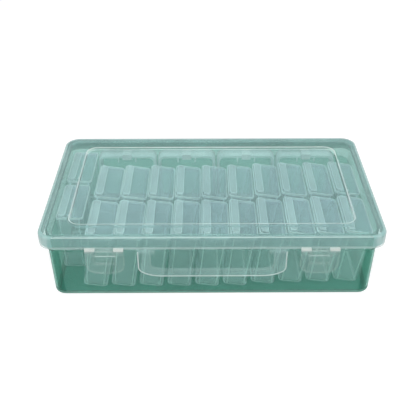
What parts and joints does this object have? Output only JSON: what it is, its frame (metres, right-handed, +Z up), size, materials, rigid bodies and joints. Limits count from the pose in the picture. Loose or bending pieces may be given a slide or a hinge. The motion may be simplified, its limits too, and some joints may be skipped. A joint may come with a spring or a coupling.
{
  "type": "compartment organizer box",
  "caption": "Translucent plastic carrying case with a hinged latched lid and drop handle, filled with small clear flip-top boxes and taller snap boxes.",
  "frame": {"origin": "centre of the tub's underside, on the surface it stands on", "axes": "+X along the case's width, to the right of someone who faces the latches; +Y from the latches to the rear hinge; +Z up"},
  "size_m": [0.3, 0.1819, 0.0685],
  "materials": {
    "tub_plastic": "translucent teal, smooth",
    "lid_plastic": "translucent pale teal, smooth",
    "handle_plastic": "clear, smooth",
    "latch_plastic": "clear, smooth",
    "pin_plastic": "clear, smooth",
    "box_plastic": "clear, smooth",
    "box_lid_plastic": "clear with a faint haze",
    "tall_box_plastic": "clear, smooth",
    "tall_box_lid_plastic": "clear, smooth"
  },
  "bodies": {
    "tub": {"tub": "tub_plastic", "hinge_pin_left": "pin_plastic", "hinge_pin_right": "pin_plastic"},
    "case_lid": {"case_lid": "lid_plastic"},
    "latch_left": {"latch_left": "latch_plastic"},
    "latch_right": {"latch_right": "latch_plastic"},
    "carry_handle": {"carry_handle": "handle_plastic"},
    "front_box_01": {"front_box_01_body": "box_plastic", "front_box_01_lid": "box_lid_plastic"},
    "front_box_02": {"front_box_02_body": "box_plastic", "front_box_02_lid": "box_lid_plastic"},
    "front_box_03": {"front_box_03_body": "box_plastic", "front_box_03_lid": "box_lid_plastic"},
    "front_box_04": {"front_box_04_body": "box_plastic", "front_box_04_lid": "box_lid_plastic"},
    "front_box_05": {"front_box_05_body": "box_plastic", "front_box_05_lid": "box_lid_plastic"},
    "front_box_06": {"front_box_06_body": "box_plastic", "front_box_06_lid": "box_lid_plastic"},
    "front_box_07": {"front_box_07_body": "box_plastic", "front_box_07_lid": "box_lid_plastic"},
    "front_box_08": {"front_box_08_body": "box_plastic", "front_box_08_lid": "box_lid_plastic"},
    "front_box_09": {"front_box_09_body": "box_plastic", "front_box_09_lid": "box_lid_plastic"},
    "front_box_10": {"front_box_10_body": "box_plastic", "front_box_10_lid": "box_lid_plastic"},
    "rear_box_01": {"rear_box_01_body": "box_plastic", "rear_box_01_lid": "box_lid_plastic"},
    "rear_box_02": {"rear_box_02_body": "box_plastic", "rear_box_02_lid": "box_lid_plastic"},
    "rear_box_03": {"rear_box_03_body": "box_plastic", "rear_box_03_lid": "box_lid_plastic"},
    "rear_box_04": {"rear_box_04_body": "box_plastic", "rear_box_04_lid": "box_lid_plastic"},
    "rear_box_05": {"rear_box_05_body": "box_plastic", "rear_box_05_lid": "box_lid_plastic"},
    "rear_box_06": {"rear_box_06_body": "box_plastic", "rear_box_06_lid": "box_lid_plastic"},
    "rear_box_07": {"rear_box_07_body": "box_plastic", "rear_box_07_lid": "box_lid_plastic"},
    "rear_box_08": {"rear_box_08_body": "box_plastic", "rear_box_08_lid": "box_lid_plastic"},
    "rear_box_09": {"rear_box_09_body": "box_plastic", "rear_box_09_lid": "box_lid_plastic"},
    "rear_box_10": {"rear_box_10_body": "box_plastic", "rear_box_10_lid": "box_lid_plastic"},
    "end_box_front": {"end_box_front_body": "box_plastic", "end_box_front_lid": "box_lid_plastic"},
    "end_box_rear": {"end_box_rear_body": "box_plastic", "end_box_rear_lid": "box_lid_plastic"},
    "tall_box_1": {"tall_box_1_body": "tall_box_plastic", "tall_box_1_lid": "tall_box_lid_plastic"},
    "tall_box_2": {"tall_box_2_body": "tall_box_plastic", "tall_box_2_lid": "tall_box_lid_plastic"},
    "tall_box_3": {"tall_box_3_body": "tall_box_plastic", "tall_box_3_lid": "tall_box_lid_plastic"},
    "tall_box_4": {"tall_box_4_body": "tall_box_plastic", "tall_box_4_lid": "tall_box_lid_plastic"}
  },
  "joints": [
    {"name": "case_lid_hinge", "type": "hinge", "parent": "tub", "child": "case_lid", "pos_m": [0, 0.088, 0.0527], "axis": [-1, 0, 0], "range_deg": [0, 180]},
    {"name": "latch_left_pivot", "type": "hinge", "parent": "case_lid", "child": "latch_left", "pos_m": [-0.0925, -0.0896, 0.0558], "axis": [-1, 0, 0], "range_deg": [0, 110]},
    {"name": "latch_right_pivot", "type": "hinge", "parent": "case_lid", "child": "latch_right", "pos_m": [0.0925, -0.0896, 0.0558], "axis": [-1, 0, 0], "range_deg": [0, 110]},
    {"name": "handle_pivot", "type": "hinge", "parent": "tub", "child": "carry_handle", "pos_m": [0, -0.0854, 0.0525], "axis": [-1, 0, 0], "range_deg": [0, 110]},
    {"name": "front_box_01_lift", "type": "slide", "parent": "tub", "child": "front_box_01", "axis": [0.1392, 0, 0.9903], "range_m": [0, 0.0015]},
    {"name": "front_box_02_lift", "type": "slide", "parent": "tub", "child": "front_box_02", "axis": [0.1392, 0, 0.9903], "range_m": [0, 0.0015]},
    {"name": "front_box_03_lift", "type": "slide", "parent": "tub", "child": "front_box_03", "axis": [0.1392, 0, 0.9903], "range_m": [0, 0.0015]},
    {"name": "front_box_04_lift", "type": "slide", "parent": "tub", "child": "front_box_04", "axis": [0.1392, 0, 0.9903], "range_m": [0, 0.0015]},
    {"name": "front_box_05_lift", "type": "slide", "parent": "tub", "child": "front_box_05", "axis": [0.1392, 0, 0.9903], "range_m": [0, 0.0015]},
    {"name": "front_box_06_lift", "type": "slide", "parent": "tub", "child": "front_box_06", "axis": [0.1392, 0, 0.9903], "range_m": [0, 0.0015]},
    {"name": "front_box_07_lift", "type": "slide", "parent": "tub", "child": "front_box_07", "axis": [0.1392, 0, 0.9903], "range_m": [0, 0.0015]},
    {"name": "front_box_08_lift", "type": "slide", "parent": "tub", "child": "front_box_08", "axis": [0.1392, 0, 0.9903], "range_m": [0, 0.0015]},
    {"name": "front_box_09_lift", "type": "slide", "parent": "tub", "child": "front_box_09", "axis": [0.1392, 0, 0.9903], "range_m": [0, 0.0015]},
    {"name": "front_box_10_lift", "type": "slide", "parent": "tub", "child": "front_box_10", "axis": [0.1392, 0, 0.9903], "range_m": [0, 0.0015]},
    {"name": "rear_box_01_lift", "type": "slide", "parent": "tub", "child": "rear_box_01", "axis": [0.1392, 0, 0.9903], "range_m": [0, 0.0015]},
    {"name": "rear_box_02_lift", "type": "slide", "parent": "tub", "child": "rear_box_02", "axis": [0.1392, 0, 0.9903], "range_m": [0, 0.0015]},
    {"name": "rear_box_03_lift", "type": "slide", "parent": "tub", "child": "rear_box_03", "axis": [0.1392, 0, 0.9903], "range_m": [0, 0.0015]},
    {"name": "rear_box_04_lift", "type": "slide", "parent": "tub", "child": "rear_box_04", "axis": [0.1392, 0, 0.9903], "range_m": [0, 0.0015]},
    {"name": "rear_box_05_lift", "type": "slide", "parent": "tub", "child": "rear_box_05", "axis": [0.1392, 0, 0.9903], "range_m": [0, 0.0015]},
    {"name": "rear_box_06_lift", "type": "slide", "parent": "tub", "child": "rear_box_06", "axis": [0.1392, 0, 0.9903], "range_m": [0, 0.0015]},
    {"name": "rear_box_07_lift", "type": "slide", "parent": "tub", "child": "rear_box_07", "axis": [0.1392, 0, 0.9903], "range_m": [0, 0.0015]},
    {"name": "rear_box_08_lift", "type": "slide", "parent": "tub", "child": "rear_box_08", "axis": [0.1392, 0, 0.9903], "range_m": [0, 0.0015]},
    {"name": "rear_box_09_lift", "type": "slide", "parent": "tub", "child": "rear_box_09", "axis": [0.1392, 0, 0.9903], "range_m": [0, 0.0015]},
    {"name": "rear_box_10_lift", "type": "slide", "parent": "tub", "child": "rear_box_10", "axis": [0.1392, 0, 0.9903], "range_m": [0, 0.0015]},
    {"name": "end_box_front_lift", "type": "slide", "parent": "tub", "child": "end_box_front", "axis": [0, 0, 1], "range_m": [0, 0.006]},
    {"name": "end_box_rear_lift", "type": "slide", "parent": "tub", "child": "end_box_rear", "axis": [0, 0, 1], "range_m": [0, 0.006]},
    {"name": "tall_box_1_lift", "type": "slide", "parent": "tub", "child": "tall_box_1", "axis": [0, 0, 1], "range_m": [0, 0.0015]},
    {"name": "tall_box_2_lift", "type": "slide", "parent": "tub", "child": "tall_box_2", "axis": [0, 0, 1], "range_m": [0, 0.0015]},
    {"name": "tall_box_3_lift", "type": "slide", "parent": "tub", "child": "tall_box_3", "axis": [0, 0, 1], "range_m": [0, 0.0015]},
    {"name": "tall_box_4_lift", "type": "slide", "parent": "tub", "child": "tall_box_4", "axis": [0, 0, 1], "range_m": [0, 0.0015]}
  ]
}
